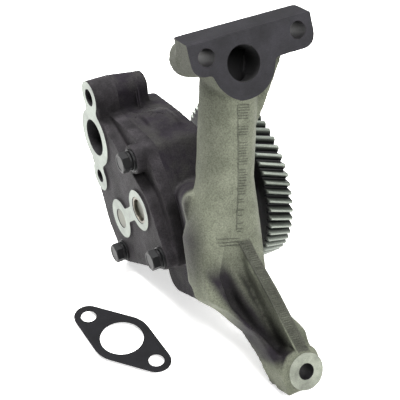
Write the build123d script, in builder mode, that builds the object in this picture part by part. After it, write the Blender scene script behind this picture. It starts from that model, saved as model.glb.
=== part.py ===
from build123d import *
from math import asin, atan2, cos, degrees, hypot, pi, radians, sin, sqrt, tan
import os

# Gear-type engine oil pump: a cast body with a delivery column and a foot, a bolted cover with the
# suction port, two pump gears inside, and a helical wheel that drives it from the timing gears.
# Lengths are in millimetres.  Places are given in the pump's own directions, counted from the
# drive shaft's axis at the cover's machined pads:
#   along  - down the shaft, from the cover to the helical wheel
#   rise   - up the column, from the foot to the delivery flange
#   out    - away from the pump body, towards the engine face that it bolts to

# ---- fits and clearances ----
running_fit = 0.04          # shaft in bush, on the radius
press_clear = 0.02          # bush or pin in its seat, on the radius
bolt_clear = 0.5            # bolt in a drilled hole, on the radius
gear_end_play = 0.12        # pump gear to cover and to the chamber floor
gear_tip_gap = 0.3          # pump gear tooth tip to the chamber wall
face_gap = 0.1              # between turning faces
bush_inset = 0.3            # bush end below the face that it is pressed in from
cut_spare = 5               # cuts run on past the metal that they take away

# ---- pump gears, shafts and bushes ----
dedendum = 1.25             # tooth root below the pitch circle, in modules
pump_flank_steps = 5
wheel_flank_steps = 2
pump_module = 3.5
pump_teeth = 12
pump_pressure_angle = 25
pump_backlash = 0.25
pump_gear_width = 28
idler_angle = 253.4         # direction from the drive shaft to the idler, from the rise axis
shaft_r = 8
idler_pin_r = 7.5
bush_wall = 2
idler_bush_wall = 1.75

# ---- cover ----
pad_height = 1.5            # machined pads above the cast face
cover_step = 9.6            # from the pads down to the wider joint flange
cover_depth = 18            # from the pads down to the joint
shaft_recess = 2.5          # shaft end below the pad
bearing_pad_r = 15
bearing_pad_neck = 10
bearing_pad_corner_r = 2.5
inlet_bore_r = 14
inlet_rise = 49.4
inlet_out = -54.3
inlet_pad_r = 22
inlet_pad_corner_r = 4
inlet_hole_pitch = 32.2     # each fixing hole from the port's centre
inlet_hole_angle = 17.2     # the line of holes leans from the rise axis
inlet_upper_r = 6.5
inlet_lower_r = 5.1
inlet_upper_boss_r = 12.5
inlet_lower_boss_r = 11.5
inlet_lower_depth = 30
front_margin = 5.5          # cast face beyond the drive shaft's pad
cover_draft = 1             # front outline inside the joint outline

# ---- cover bolts: (rise, out) of each ----
cover_bolts_at = [(37.4, 7.0), (-32.7, 17.7), (-40.2, -54.9)]
bolt_lug_r = 10.5
bolt_r = 4
bolt_af = 13
bolt_head = 5.3
bolt_thread_into_body = 13
washer_r = 8
washer_thick = 1.6
washer_clear = 0.3
spring_washer_split = 1.2
spring_washer_r = 7
spring_washer_thick = 2.2
dowel_r = 3
dowel_length = 12
dowels_at = [(28.5, 12), (-30, -66)]
bolt_hole_spare = 2         # tapped hole beyond the bolt's end

# ---- body ----
body_depth = 37             # joint face to the back of the body
chamber_floor = 0.06        # extra depth of the chamber beyond the gears' end play
wall_drive = 4.4            # metal round the drive gear's chamber
wall_idler = 10.6           # metal round the idler gear's chamber
inlet_wall = 6.5            # metal round the suction chamber
crown = (29, -22, 29.5)     # rise, out and radius of the body's rounded top
rear_boss_r = 16
rear_boss_length = 13.5
rear_boss_foot = 3          # rear boss wider at its foot, on the radius
rear_boss_draft = 10
long_boss_length = 26       # through-bolt boss behind the joint
long_boss_draft = 7.5
body_flange_depth = 7       # joint flange that goes right round the body
body_set_in = 0.8           # body wall inside the joint flange's outline
bolt_boss_length = 18       # boss behind the joint flange for the lower right bolt
idler_pin_grip = 6.5        # idler pin in the chamber floor
suction_mesh_rise = 12      # where the suction pocket meets the gears
suction_mesh_r = 8
suction_depth = 24
delivery_mesh = (-20, -16)  # where the delivery pocket meets the gears
delivery_mesh_r = 6
port_r = 7.5
delivery_start = (31, -38, -6)
delivery_reach = 94

# ---- delivery flange and column ----
mount_out = 100             # engine face
outlet_along = 54.6
outlet_rise = 93.2
outlet_bore_r = 11.6
outlet_lip_r = 22.5
flange_thick = 18
flange_left = 19
flange_right = 108.3
flange_bottom = 91.3
flange_top_front = 112.8
flange_top = 119
flange_top_slope = 17.5     # degrees that the top face falls towards the engine face
flange_corner_r = 9
flange_bolts_at = [(30.5, 102.7), (97.0, 103.8)]
flange_hole_r = 5.75
bolt_hole_reach = 50        # flange and foot holes run through whatever is behind them
flange_boss_radii = (12.4, 10.5)
flange_boss_backs = (12, 8)  # boss length behind the flange at each bolt
column_r = 18.8
column_front_gap = 0.8      # column skin behind the engine face
column_foot_along = 26.8    # column axis at the shaft's height
column_low = 6              # the round column ends inside the neck
# neck under the column: rise, middle along and out, width, depth, corner radius
neck_sections = [(36, 37.3, 79.6, 34, 35, 16.9), (14, 31, 79.4, 42, 37, 18), (-8, 24, 79, 52, 38.4, 18),
                 (-40, 21.5, 77, 50, 36, 14), (-62, 28, 77, 34, 28, 11)]
column_shoulder = 103       # where its domed cap begins
column_cap = 6
column_cap_draft = 35
column_bore_r = 10
column_bore_top = 102
gusset_thick = 14
gusset_points = [(50, 40), (61.5, 52), (70, 62), (80, 76), (92, 93), (50, 93)]

# ---- web, lower chamber, arm and foot ----
web_wall_out = 24
web_column_out = 76
web_wall = (38, -14, 34, 58)        # along, rise, width and height where it leaves the body
web_column = (25, -12, 44, 62)      # and where it meets the column
web_corner_r = 8
skirt_wall_out = 29         # skirt that carries the lower chamber out to the arm
skirt_arm_out = 76
skirt_wall = [(20, -16), (50, -16), (50, -66), (20, -66)]
skirt_arm = [(0, -16), (48, -16), (44, -60), (7, -60)]
chamber_points = [(-25, -22), (-71, -22), (-71, 52), (-50, 66), (-10, 66), (-10, 0)]
chamber_setback = 1
chamber_length = 34
chamber_corner_r = 12
arm_back = 73
arm_front = 92
arm_draft = 8
arm_edge_r = 6
arm_points = [(2, -6), (-3.5, -30), (-3.5, -50), (8, -61), (24, -84), (31.5, -106), (36.5, -129.5),
              (61.5, -129.5), (66, -106), (64.5, -91), (54, -74), (45, -48), (48, -20), (44, -6)]
hollow_mouth = 112          # beyond everything that the hollow is cut from
hollow_draft = 3
# hollow down the arm's front: rise, left and right edge, floor
hollow_sections = [(-13, 14, 29, 97), (-35, 6, 32, 88), (-58, 11, 38, 79), (-86, 28.5, 47, 79),
                   (-106, 40, 50, 82)]
rib_front = 97
rib_draft = 12
rib_height = 22
rib_points = [(25, -14), (31, -14), (43.5, -56), (55.5, -100), (50.5, -103), (38, -58)]
foot_along = 51.7
foot_rise = -116.2
foot_hole_r = 5.75
foot_boss_r = 13
foot_block_front = 97.4
foot_bottom = -129.5
foot_back = 80
foot_corner_r = 5
foot_points = [(37, -129.5), (61.5, -129.5), (65, -119), (64.5, -104), (56, -101), (42, -101), (34, -112)]

# ---- helical driven wheel ----
wheel_teeth = 55
wheel_module = 2            # normal module
wheel_helix = 20            # degrees, right hand
wheel_pressure_angle = 20
wheel_gap = 3.5             # rear boss to the wheel's rim
wheel_face = 18.7
wheel_rim = 8
wheel_hub_r = 16
wheel_phase = 45.6
wheel_backlash = 0.1
wheel_recess = 5.3
wheel_recess_draft = 8
thrust_washer_thick = 1.5
thread_r = 6
nut_af = 19
nut_height = 10
hub_washer_r = 12
hub_washer_thick = 2.5
key_width = 5
key_height = 5
key_length = 15
thread_spare = 2
thread_chamfer = 1

# ---- suction gasket, lying loose beside the pump ----
gasket_thick = 1
gasket_bore_gap = 1.5       # gasket bore to port bore, on the radius
gasket_hole_r = 5.6
gasket_body_r = 21.5
gasket_end_r = 10.5
gasket_place = (-90.5, -2.8)
gasket_turn = -67.8         # degrees, line of holes from the shaft's direction on the ground

# ---- worked out from the above ----
pump_pitch_r = pump_module * pump_teeth / 2
shaft_distance = 2 * pump_pitch_r
idler_rise = shaft_distance * cos(radians(idler_angle))
idler_out = shaft_distance * sin(radians(idler_angle))
pump_tip_r = pump_pitch_r + pump_module
chamber_r = pump_tip_r + gear_tip_gap
drive_wall_r = chamber_r + wall_drive
idler_wall_r = chamber_r + wall_idler
inlet_wall_r = inlet_bore_r + inlet_wall
body_back = cover_depth + body_depth
chamber_end = cover_depth + pump_gear_width + 2 * gear_end_play + chamber_floor
rear_boss_end = body_back + rear_boss_length
column_out = mount_out - column_front_gap - column_r
column_lean = degrees(atan2(outlet_along - column_foot_along, outlet_rise))
flange_back = mount_out - flange_thick
flange_top_back = flange_top_front + (flange_thick + cut_spare) * tan(radians(flange_top_slope))
bush_seat_r = shaft_r + bush_wall + press_clear
column_stretch = 1 / cos(radians(column_lean))      # length up the column for one of rise
bolt_hole_depth = bolt_thread_into_body + bolt_hole_spare
wheel_start = rear_boss_end + wheel_gap
wheel_end = wheel_start + wheel_face
hub_start = rear_boss_end + 2 * face_gap + thrust_washer_thick
pump_key_start = cover_depth + gear_end_play + (pump_gear_width - key_length) / 2
wheel_key_start = wheel_start + (wheel_face - key_length) / 2
upper_hole = (inlet_rise + inlet_hole_pitch * cos(radians(inlet_hole_angle)),
              inlet_out + inlet_hole_pitch * sin(radians(inlet_hole_angle)))
lower_hole = (inlet_rise - inlet_hole_pitch * cos(radians(inlet_hole_angle)),
              inlet_out - inlet_hole_pitch * sin(radians(inlet_hole_angle)))

# The pump stands on the back edge of its foot and on the lug of its lowest cover bolt, which
# leans the column back from upright.
low_lug = cover_bolts_at[2]
reach_rise = foot_bottom - low_lug[0]
reach_out = foot_back - low_lug[1]
lean = asin(-bolt_lug_r / hypot(reach_rise, reach_out)) - atan2(reach_rise, reach_out)
ground = foot_bottom * cos(lean) + foot_back * sin(lean)

# The model's origin is the centre of the delivery port on the engine face.
along_dir = Vector(1, 0, 0)
rise_dir = Vector(0, sin(lean), cos(lean))
out_dir = Vector(0, -cos(lean), sin(lean))


def place(along, rise, out):
    """Point of the model at a place counted in the pump's own directions."""
    return (along_dir * (along - outlet_along) + rise_dir * (rise - outlet_rise)
            + out_dir * (out - mount_out))


def across(along):
    """Plane square to the shaft: x is rise, y is out, z runs along the shaft."""
    return Plane(origin=place(along, 0, 0), x_dir=rise_dir, z_dir=along_dir)


def facing(out):
    """Plane parallel to the engine face: x is along, y is rise, z is out."""
    return Plane(origin=place(0, 0, out), x_dir=along_dir, z_dir=out_dir)


def down_from(rise):
    """Plane square to the rise axis: x is along, y is out, z runs down."""
    return Plane(origin=place(0, rise, 0), x_dir=along_dir, z_dir=-rise_dir)


def on_line(start, end):
    """Plane at start whose z runs to end, for a round passage between two places."""
    first = place(*start)
    return Plane(origin=first, z_dir=place(*end) - first)


def gear_outline(teeth, pitch_r, addendum, dedendum, pressure, thinning, phase, flank_steps):
    """Corner points of a gear with involute flanks; the first tooth is centred on phase."""
    base_r = pitch_r * cos(radians(pressure))
    tip_r = pitch_r + addendum
    root_r = pitch_r - dedendum
    start_r = max(base_r, root_r)
    inv_pitch = tan(radians(pressure)) - radians(pressure)
    half_tooth = pi / (2 * teeth) - thinning / (2 * pitch_r)
    flank = []
    for step in range(flank_steps + 1):
        r = start_r + (tip_r - start_r) * step / flank_steps
        roll = sqrt(max((r / base_r) ** 2 - 1, 0))
        flank.append((r, half_tooth + inv_pitch - (roll - atan2(roll, 1))))
    if root_r < base_r:
        flank.insert(0, (root_r, flank[0][1]))
    corners = []
    for tooth in range(teeth):
        middle = radians(phase) + 2 * pi * tooth / teeth
        for r, half in flank:
            corners.append((r * cos(middle - half), r * sin(middle - half)))
        for r, half in reversed(flank):
            corners.append((r * cos(middle + half), r * sin(middle + half)))
    return corners


def column_centre(rise):
    """Column axis at a height on the rise axis."""
    return column_foot_along + rise * tan(radians(column_lean)), rise, column_out


def column_plane(rise):
    """Plane square to the column's axis, with z up the column."""
    return on_line(column_centre(rise), column_centre(rise + outlet_rise))


def hull_of(circles):
    """Outline stretched round circles given as (x, y, radius)."""
    for x, y, r in circles:
        with Locations((x, y)):
            Circle(r)
    make_hull()


os.makedirs("parts", exist_ok=True)

# ---- main casting: pump body, lower chamber, web, column, flange, arm and foot ----
bolt_lugs = [(rise, out, bolt_lug_r) for rise, out in cover_bolts_at]
wall_circles = [(0, 0, drive_wall_r), (idler_rise, idler_out, idler_wall_r),
                (inlet_rise, inlet_out, inlet_wall_r), crown]
body_circles = bolt_lugs + wall_circles
rear_circles = [(rise, out, r - body_set_in) for rise, out, r in [bolt_lugs[0], bolt_lugs[2]] + wall_circles]
upper_boss = [(*upper_hole, inlet_upper_boss_r), (inlet_rise, inlet_out, inlet_upper_boss_r)]

with BuildPart() as main_casting:
    # pump body behind the joint, with the boss for the long suction bolt
    with BuildSketch(across(cover_depth)):
        hull_of(body_circles)
    extrude(amount=body_flange_depth)
    with BuildSketch(across(cover_depth)):
        hull_of(rear_circles)
    extrude(amount=body_depth)
    with BuildSketch(across(cover_depth)):
        with Locations(cover_bolts_at[1]):
            Circle(bolt_lug_r - body_set_in)
    extrude(amount=bolt_boss_length)
    with BuildSketch(across(cover_depth)):
        hull_of(upper_boss)
    extrude(amount=long_boss_length, taper=long_boss_draft)
    # rear bearing boss
    with BuildSketch(across(body_back)):
        Circle(rear_boss_r + rear_boss_foot)
    extrude(amount=rear_boss_length, taper=rear_boss_draft)
    # lower chamber under the gears
    with BuildSketch(across(cover_depth + chamber_setback)) as chamber_outline:
        Polygon(*chamber_points, align=None)
        fillet(chamber_outline.vertices(), radius=chamber_corner_r)
    extrude(amount=chamber_length)
    # web from the body out to the column
    with BuildSketch(facing(web_wall_out)):
        with Locations(web_wall[:2]):
            RectangleRounded(*web_wall[2:], web_corner_r)
    with BuildSketch(facing(web_column_out)):
        with Locations(web_column[:2]):
            RectangleRounded(*web_column[2:], web_corner_r)
    loft()
    # skirt from the lower chamber out to the arm
    with BuildSketch(facing(skirt_wall_out)):
        Polygon(*skirt_wall, align=None)
    with BuildSketch(facing(skirt_arm_out)):
        Polygon(*skirt_arm, align=None)
    loft()
    # column with its closed top behind the flange
    with BuildSketch(column_plane(column_low)):
        Circle(column_r)
    extrude(amount=(column_shoulder - column_low) * column_stretch)
    with BuildSketch(column_plane(column_shoulder)):
        Circle(column_r)
    extrude(amount=column_cap, taper=column_cap_draft)
    # neck that widens from the column into the arm
    for rise, middle, out, width, depth, corner in neck_sections:
        with BuildSketch(down_from(rise)):
            with Locations((middle, out)):
                RectangleRounded(width, depth, corner)
    loft(ruled=True)
    # gusset under the flange's longer wing
    with BuildSketch(facing(column_out - gusset_thick / 2)):
        Polygon(*gusset_points, align=None)
    extrude(amount=gusset_thick)
    # delivery flange, its top face sloping down towards the engine
    with BuildSketch(facing(flange_back)) as flange_outline:
        with Locations(((flange_left + flange_right) / 2, (flange_bottom + flange_top) / 2)):
            Rectangle(flange_right - flange_left, flange_top - flange_bottom)
        fillet(flange_outline.vertices().sort_by(Axis.Y)[:2], radius=flange_corner_r)
        with Locations((outlet_along, outlet_rise)):
            Circle(outlet_lip_r)
    extrude(amount=flange_thick)
    for bolt_at, boss_back, boss_r in zip(flange_bolts_at, flange_boss_backs, flange_boss_radii):
        with BuildSketch(facing(flange_back - boss_back)):
            with Locations(bolt_at):
                Circle(boss_r)
        extrude(amount=boss_back)
    # arm down to the foot, hollowed from the front beside its rib, and the foot block
    with BuildSketch(facing(arm_back)) as arm_outline:
        Polygon(*arm_points, align=None)
        fillet(arm_outline.vertices(), radius=arm_edge_r)
    extrude(amount=arm_front - arm_back, taper=arm_draft)
    for rise, left, right, floor in hollow_sections:
        with BuildSketch(down_from(rise)):
            Polygon((left, hollow_mouth), (left + hollow_draft, floor), (right - hollow_draft, floor),
                    (right, hollow_mouth), align=None)
    loft(ruled=True, mode=Mode.SUBTRACT)
    with BuildSketch(facing(rib_front)):
        Polygon(*rib_points, align=None)
    extrude(amount=-rib_height, taper=-rib_draft)
    with BuildSketch(facing(foot_back)) as foot_block:
        Polygon(*foot_points, align=None)
        fillet(foot_block.vertices().sort_by(Axis.Y)[2:], radius=foot_corner_r)
    extrude(amount=foot_block_front - foot_back)
    with BuildSketch(facing(foot_back)):
        with Locations((foot_along, foot_rise)):
            Circle(foot_boss_r)
    extrude(amount=mount_out - foot_back)
    # level cut on top of the flange
    with BuildSketch(across(0)):
        with BuildLine():
            Polyline((flange_top_front, mount_out), (flange_top_front, mount_out + cut_spare),
                     (flange_top + cut_spare, mount_out + cut_spare), (flange_top + cut_spare, flange_back - cut_spare),
                     (flange_top_back, flange_back - cut_spare), close=True)
        make_face()
    extrude(amount=flange_right + cut_spare, mode=Mode.SUBTRACT)
    # gear chamber
    with BuildSketch(across(cover_depth)):
        with Locations((0, 0), (idler_rise, idler_out)):
            Circle(chamber_r)
    extrude(amount=chamber_end - cover_depth, mode=Mode.SUBTRACT)
    # suction pocket from the port to the gears
    with BuildSketch(across(cover_depth)):
        hull_of([(inlet_rise, inlet_out, inlet_bore_r), (suction_mesh_rise, idler_out / 2, suction_mesh_r)])
    extrude(amount=suction_depth, mode=Mode.SUBTRACT)
    # delivery: pocket by the gears, passage through the web, up the column and out at the flange
    with BuildSketch(across(cover_depth)):
        hull_of([(*delivery_start[1:], port_r), (*delivery_mesh, delivery_mesh_r)])
    extrude(amount=suction_depth, mode=Mode.SUBTRACT)
    with BuildSketch(on_line(delivery_start, column_centre(0))):
        Circle(port_r)
    extrude(amount=delivery_reach, mode=Mode.SUBTRACT)
    with BuildSketch(column_plane(0)):
        Circle(column_bore_r)
    extrude(amount=column_bore_top * column_stretch, mode=Mode.SUBTRACT)
    with BuildSketch(facing(mount_out)):
        with Locations((outlet_along, outlet_rise)):
            Circle(outlet_bore_r)
    extrude(amount=column_out - mount_out, mode=Mode.SUBTRACT)
    # bush, idler pin, bolts and dowels
    with BuildSketch(across(chamber_end)):
        Circle(bush_seat_r)
    extrude(amount=rear_boss_length + body_depth, mode=Mode.SUBTRACT)
    with BuildSketch(across(chamber_end)):
        with Locations((idler_rise, idler_out)):
            Circle(idler_pin_r + press_clear)
    extrude(amount=idler_pin_grip, mode=Mode.SUBTRACT)
    with BuildSketch(across(cover_depth)):
        with Locations(cover_bolts_at):
            Circle(bolt_r + press_clear)
    extrude(amount=bolt_hole_depth, mode=Mode.SUBTRACT)
    with BuildSketch(across(cover_depth)):
        with Locations(dowels_at):
            Circle(dowel_r + press_clear)
    extrude(amount=dowel_length / 2 + face_gap, mode=Mode.SUBTRACT)
    with BuildSketch(across(cover_depth)):
        with Locations(upper_hole):
            Circle(inlet_upper_r)
    extrude(amount=long_boss_length, mode=Mode.SUBTRACT)
    with BuildSketch(across(cover_depth)):
        with Locations(lower_hole):
            Circle(inlet_lower_r)
    extrude(amount=inlet_lower_depth - cover_depth, mode=Mode.SUBTRACT)
    # flange and foot bolt holes
    with BuildSketch(facing(mount_out)):
        with Locations(*flange_bolts_at):
            Circle(flange_hole_r)
        with Locations((foot_along, foot_rise)):
            Circle(foot_hole_r)
    extrude(amount=-bolt_hole_reach, mode=Mode.SUBTRACT)
main_casting.part.label = "main_casting"
export_step(main_casting.part, "parts/main_casting.step")

# ---- cover with the suction port ----
front_circles = [(rise, out, bolt_lug_r - cover_draft) for rise, out in cover_bolts_at[1:]]
front_circles += [(0, 0, bearing_pad_r + front_margin), (idler_rise, idler_out, idler_wall_r - cover_draft),
                  (inlet_rise, inlet_out, inlet_pad_r)]

with BuildPart() as cover:
    with BuildSketch(across(cover_step)):
        hull_of(body_circles)
    extrude(amount=cover_depth - cover_step)
    with BuildSketch(across(pad_height)):
        hull_of(front_circles)
    extrude(amount=cover_step - pad_height)
    with BuildSketch(across(pad_height)):
        with Locations(cover_bolts_at[0]):
            Circle(bolt_lug_r)
    extrude(amount=cover_depth - pad_height)
    with BuildSketch(across(pad_height)):
        hull_of(upper_boss)
    extrude(amount=cover_depth - pad_height)
    # suction pad and the two bearing pads stand proud of the cast face
    with BuildSketch(across(0)) as suction_pad:
        with Locations((inlet_rise, inlet_out)):
            Circle(inlet_pad_r)
        with Locations(upper_hole):
            Circle(inlet_upper_boss_r)
        with Locations(lower_hole):
            Circle(inlet_lower_boss_r)
        fillet(suction_pad.vertices(), radius=inlet_pad_corner_r)
    extrude(amount=pad_height)
    with BuildSketch(across(0)) as bearing_pads:
        with Locations((0, 0), (idler_rise, idler_out)):
            Circle(bearing_pad_r)
        with Locations(Location((idler_rise / 2, idler_out / 2), idler_angle)):
            Rectangle(shaft_distance, bearing_pad_neck)
        fillet(bearing_pads.vertices(), radius=bearing_pad_corner_r)
    extrude(amount=pad_height)
    # suction port, suction bolt holes, bush and pin seats, bolts and dowels
    with BuildSketch(across(0)):
        with Locations((inlet_rise, inlet_out)):
            Circle(inlet_bore_r)
        with Locations(upper_hole):
            Circle(inlet_upper_r)
        with Locations(lower_hole):
            Circle(inlet_lower_r)
        with Locations((0, 0)):
            Circle(bush_seat_r)
        with Locations((idler_rise, idler_out)):
            Circle(idler_pin_r + press_clear)
        with Locations(*cover_bolts_at):
            Circle(bolt_r + bolt_clear)
    extrude(amount=cover_depth, mode=Mode.SUBTRACT)
    with BuildSketch(across(cover_depth)):
        with Locations(*dowels_at):
            Circle(dowel_r + press_clear)
    extrude(amount=-dowel_length / 2 - face_gap, mode=Mode.SUBTRACT)
cover.part.label = "cover"
export_step(cover.part, "parts/cover.step")

# ---- bushes ----
with BuildPart() as cover_bush:
    with BuildSketch(across(bush_inset)):
        Circle(shaft_r + bush_wall)
        Circle(shaft_r + running_fit, mode=Mode.SUBTRACT)
    extrude(amount=cover_depth - 2 * bush_inset)
cover_bush.part.label = "cover_bush"
export_step(cover_bush.part, "parts/cover_bush.step")

with BuildPart() as body_bush:
    with BuildSketch(across(chamber_end + bush_inset)):
        Circle(shaft_r + bush_wall)
        Circle(shaft_r + running_fit, mode=Mode.SUBTRACT)
    extrude(amount=rear_boss_end - chamber_end - bush_inset)
body_bush.part.label = "body_bush"
export_step(body_bush.part, "parts/body_bush.step")

# ---- drive shaft with its key seats and threaded end ----
with BuildPart() as drive_shaft:
    with BuildSketch(across(shaft_recess)):
        Circle(shaft_r)
    extrude(amount=wheel_end - shaft_recess)
    with BuildSketch(across(wheel_end)):
        Circle(thread_r)
    extrude(amount=hub_washer_thick + nut_height + thread_spare)
    chamfer(drive_shaft.edges().filter_by(GeomType.CIRCLE).sort_by(Axis.X)[-1], length=thread_chamfer)
    with BuildSketch(across(pump_key_start), across(wheel_key_start)):
        with Locations((shaft_r, 0)):
            Rectangle(key_height, key_width + 2 * press_clear)
    extrude(amount=key_length, mode=Mode.SUBTRACT)
drive_shaft.part.label = "drive_shaft"
export_step(drive_shaft.part, "parts/drive_shaft.step")

for key_name, key_start in (("pump_gear_key", pump_key_start), ("wheel_key", wheel_key_start)):
    with BuildPart() as key:
        with BuildSketch(across(key_start)):
            with Locations((shaft_r, 0)):
                Rectangle(key_height - 2 * press_clear, key_width)
        extrude(amount=key_length)
    key.part.label = key_name
    export_step(key.part, f"parts/{key_name}.step")

# ---- pump gears, in mesh across the line of centres ----
pump_gear_plane = cover_depth + gear_end_play
tooth_step = 360 / pump_teeth
with BuildPart() as pump_drive_gear:
    with BuildSketch(across(pump_gear_plane)):
        with BuildLine():
            Polyline(*gear_outline(pump_teeth, pump_pitch_r, pump_module, dedendum * pump_module,
                                   pump_pressure_angle, pump_backlash, idler_angle, pump_flank_steps), close=True)
        make_face()
        Circle(shaft_r + press_clear, mode=Mode.SUBTRACT)
        with Locations((shaft_r, 0)):
            Rectangle(key_height, key_width + 2 * press_clear, mode=Mode.SUBTRACT)
    extrude(amount=pump_gear_width)
pump_drive_gear.part.label = "pump_drive_gear"
export_step(pump_drive_gear.part, "parts/pump_drive_gear.step")

idler_plane = Plane(origin=place(pump_gear_plane, idler_rise, idler_out), x_dir=rise_dir, z_dir=along_dir)
with BuildPart() as pump_idler_gear:
    with BuildSketch(idler_plane):
        Polygon(*gear_outline(pump_teeth, pump_pitch_r, pump_module, dedendum * pump_module, pump_pressure_angle,
                              pump_backlash, idler_angle + tooth_step / 2, pump_flank_steps), align=None)
        Circle(idler_pin_r + idler_bush_wall + press_clear, mode=Mode.SUBTRACT)
    extrude(amount=pump_gear_width)
pump_idler_gear.part.label = "pump_idler_gear"
export_step(pump_idler_gear.part, "parts/pump_idler_gear.step")

with BuildPart() as idler_bush:
    with BuildSketch(across(pump_gear_plane + bush_inset)):
        with Locations((idler_rise, idler_out)):
            Circle(idler_pin_r + idler_bush_wall)
            Circle(idler_pin_r + running_fit, mode=Mode.SUBTRACT)
    extrude(amount=pump_gear_width - 2 * bush_inset)
idler_bush.part.label = "idler_bush"
export_step(idler_bush.part, "parts/idler_bush.step")

with BuildPart() as idler_pin:
    with BuildSketch(across(bush_inset)):
        with Locations((idler_rise, idler_out)):
            Circle(idler_pin_r)
    extrude(amount=chamber_end + idler_pin_grip - 2 * bush_inset)
idler_pin.part.label = "idler_pin"
export_step(idler_pin.part, "parts/idler_pin.step")

# ---- helical driven wheel: twisted toothed rim, thin web and a hub on the shaft ----
wheel_pitch_r = wheel_module * wheel_teeth / (2 * cos(radians(wheel_helix)))
wheel_root_r = wheel_pitch_r - dedendum * wheel_module
wheel_twist = degrees(wheel_face * tan(radians(wheel_helix)) / wheel_pitch_r)
with BuildSketch(across(wheel_start)) as wheel_blank:
    with BuildLine():
        Polyline(*gear_outline(wheel_teeth, wheel_pitch_r, wheel_module, dedendum * wheel_module,
                               wheel_pressure_angle, wheel_backlash, wheel_phase, wheel_flank_steps), close=True)
    make_face()
wheel_blank_face = wheel_blank.sketch.faces()[0]
with BuildPart() as helical_wheel:
    add(Solid.extrude_linear_with_rotation(wheel_blank_face, place(wheel_start, 0, 0),
                                           along_dir * wheel_face, wheel_twist))
    # recess both sides of the web, leaving the rim and the hub
    for recess_start, recess_depth in ((wheel_start, wheel_recess), (wheel_end, -wheel_recess)):
        with BuildSketch(across(recess_start)):
            Circle(wheel_root_r - wheel_rim)
            Circle(wheel_hub_r, mode=Mode.SUBTRACT)
        extrude(amount=recess_depth, mode=Mode.SUBTRACT, taper=wheel_recess_draft)
    with BuildSketch(across(hub_start)):
        Circle(wheel_hub_r)
    extrude(amount=wheel_end - hub_start)
    with BuildSketch(across(hub_start)):
        Circle(shaft_r + press_clear)
        with Locations((shaft_r, 0)):
            Rectangle(key_height, key_width + 2 * press_clear)
    extrude(amount=wheel_end - hub_start, mode=Mode.SUBTRACT)
helical_wheel.part.label = "helical_wheel"
export_step(helical_wheel.part, "parts/helical_wheel.step")

with BuildPart() as thrust_washer:
    with BuildSketch(across(rear_boss_end + face_gap)):
        Circle(rear_boss_r)
        Circle(shaft_r + running_fit, mode=Mode.SUBTRACT)
    extrude(amount=thrust_washer_thick)
thrust_washer.part.label = "thrust_washer"
export_step(thrust_washer.part, "parts/thrust_washer.step")

with BuildPart() as hub_washer:
    with BuildSketch(across(wheel_end)):
        Circle(hub_washer_r)
        Circle(thread_r + press_clear, mode=Mode.SUBTRACT)
    extrude(amount=hub_washer_thick)
hub_washer.part.label = "hub_washer"
export_step(hub_washer.part, "parts/hub_washer.step")

with BuildPart() as hub_nut:
    with BuildSketch(across(wheel_end + hub_washer_thick)):
        RegularPolygon(nut_af / 2, 6, major_radius=False)
        Circle(thread_r + press_clear, mode=Mode.SUBTRACT)
    extrude(amount=nut_height)
hub_nut.part.label = "hub_nut"
export_step(hub_nut.part, "parts/hub_nut.step")

# ---- cover bolts, each over a spring washer and a flat washer ----
under_spring = pad_height - washer_thick
under_head = under_spring - spring_washer_thick
with BuildPart() as flat_washers:
    with BuildSketch(across(under_spring)):
        with Locations(*cover_bolts_at):
            Circle(washer_r)
            Circle(bolt_r + washer_clear, mode=Mode.SUBTRACT)
    extrude(amount=washer_thick)
flat_washers.part.label = "flat_washers"
export_step(flat_washers.part, "parts/flat_washers.step")

with BuildPart() as spring_washers:
    with BuildSketch(across(under_head)):
        with Locations(*cover_bolts_at):
            Circle(spring_washer_r)
            Circle(bolt_r + washer_clear, mode=Mode.SUBTRACT)
        with Locations(*[(rise + bolt_r + spring_washer_split, out) for rise, out in cover_bolts_at]):
            Rectangle(2 * bolt_r, spring_washer_split, mode=Mode.SUBTRACT)
    extrude(amount=spring_washer_thick)
spring_washers.part.label = "spring_washers"
export_step(spring_washers.part, "parts/spring_washers.step")

with BuildPart() as cover_bolts:
    with BuildSketch(across(under_head)):
        with Locations(*cover_bolts_at):
            RegularPolygon(bolt_af / 2, 6, major_radius=False)
    extrude(amount=-bolt_head)
    with BuildSketch(across(under_head)):
        with Locations(*cover_bolts_at):
            Circle(bolt_r)
    extrude(amount=cover_depth + bolt_thread_into_body - under_head)
cover_bolts.part.label = "cover_bolts"
export_step(cover_bolts.part, "parts/cover_bolts.step")

with BuildPart() as dowels:
    with BuildSketch(across(cover_depth - dowel_length / 2)):
        with Locations(*dowels_at):
            Circle(dowel_r)
    extrude(amount=dowel_length)
dowels.part.label = "dowels"
export_step(dowels.part, "parts/dowels.step")

# ---- suction gasket, flat on the ground beside the pump ----
ground_height = ground - outlet_rise * cos(lean) - mount_out * sin(lean)
gasket_plane = Plane(origin=(gasket_place[0], gasket_place[1], ground_height),
                     x_dir=(cos(radians(gasket_turn)), sin(radians(gasket_turn)), 0), z_dir=(0, 0, 1))
with BuildPart() as suction_gasket:
    with BuildSketch(gasket_plane):
        hull_of([(0, 0, gasket_body_r), (inlet_hole_pitch, 0, gasket_end_r),
                 (-inlet_hole_pitch, 0, gasket_end_r)])
        Circle(inlet_bore_r + gasket_bore_gap, mode=Mode.SUBTRACT)
        with Locations((inlet_hole_pitch, 0), (-inlet_hole_pitch, 0)):
            Circle(gasket_hole_r, mode=Mode.SUBTRACT)
    extrude(amount=gasket_thick)
suction_gasket.part.label = "suction_gasket"
export_step(suction_gasket.part, "parts/suction_gasket.step")
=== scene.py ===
import bpy
import bmesh
from math import asin, atan2, cos, hypot, pi, radians, sin, sqrt, tan
from random import Random
from mathutils import Matrix, Vector
from mathutils.bvhtree import BVHTree
from mathutils.noise import noise as noiseAt


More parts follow.
